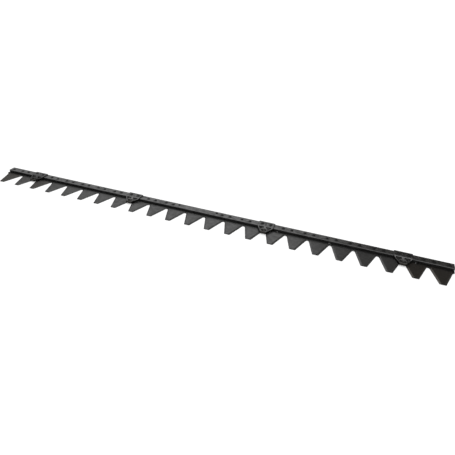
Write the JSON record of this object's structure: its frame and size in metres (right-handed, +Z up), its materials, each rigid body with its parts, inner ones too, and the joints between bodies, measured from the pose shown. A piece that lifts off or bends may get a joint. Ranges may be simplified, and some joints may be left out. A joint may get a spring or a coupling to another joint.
{
  "type": "sickle bar mower knife",
  "caption": "Complete sickle mower knife: a row of riveted trapezoid cutting sections under a flat knife back with guide sockets.",
  "frame": {"origin": "bottom centre of the bounding box: on the flat shear face, midway along the knife and midway between the tips and the back", "axes": "+X along the knife, +Y from the tips towards the knife back, +Z up from the shear face"},
  "size_m": [1.61, 0.101, 0.0156],
  "materials": {
    "bar_steel": "dark rolled flat steel, satin",
    "blade_steel": "hardened and blackened sheet, ground bevels",
    "forged_steel": "dark forging, slightly rough",
    "rivet_steel": "black rivet steel, hammered"
  },
  "bodies": {
    "root": {"knife_back": "bar_steel", "section_01": "blade_steel", "section_02": "blade_steel", "section_03": "blade_steel", "section_04": "blade_steel", "section_05": "blade_steel", "section_06": "blade_steel", "section_07": "blade_steel", "section_08": "blade_steel", "section_09": "blade_steel", "section_10": "blade_steel", "section_11": "blade_steel", "section_12": "blade_steel", "section_13": "blade_steel", "section_14": "blade_steel", "section_15": "blade_steel", "section_16": "blade_steel", "section_17": "blade_steel", "section_18": "blade_steel", "section_19": "blade_steel", "section_20": "blade_steel", "section_21": "blade_steel", "section_22": "blade_steel", "section_23": "blade_steel", "guide_1": "forged_steel", "guide_2": "forged_steel", "guide_3": "forged_steel", "guide_4": "forged_steel", "section_rivets": "rivet_steel", "flush_rivets": "rivet_steel", "guide_rivets": "rivet_steel"}
  },
  "joints": []
}
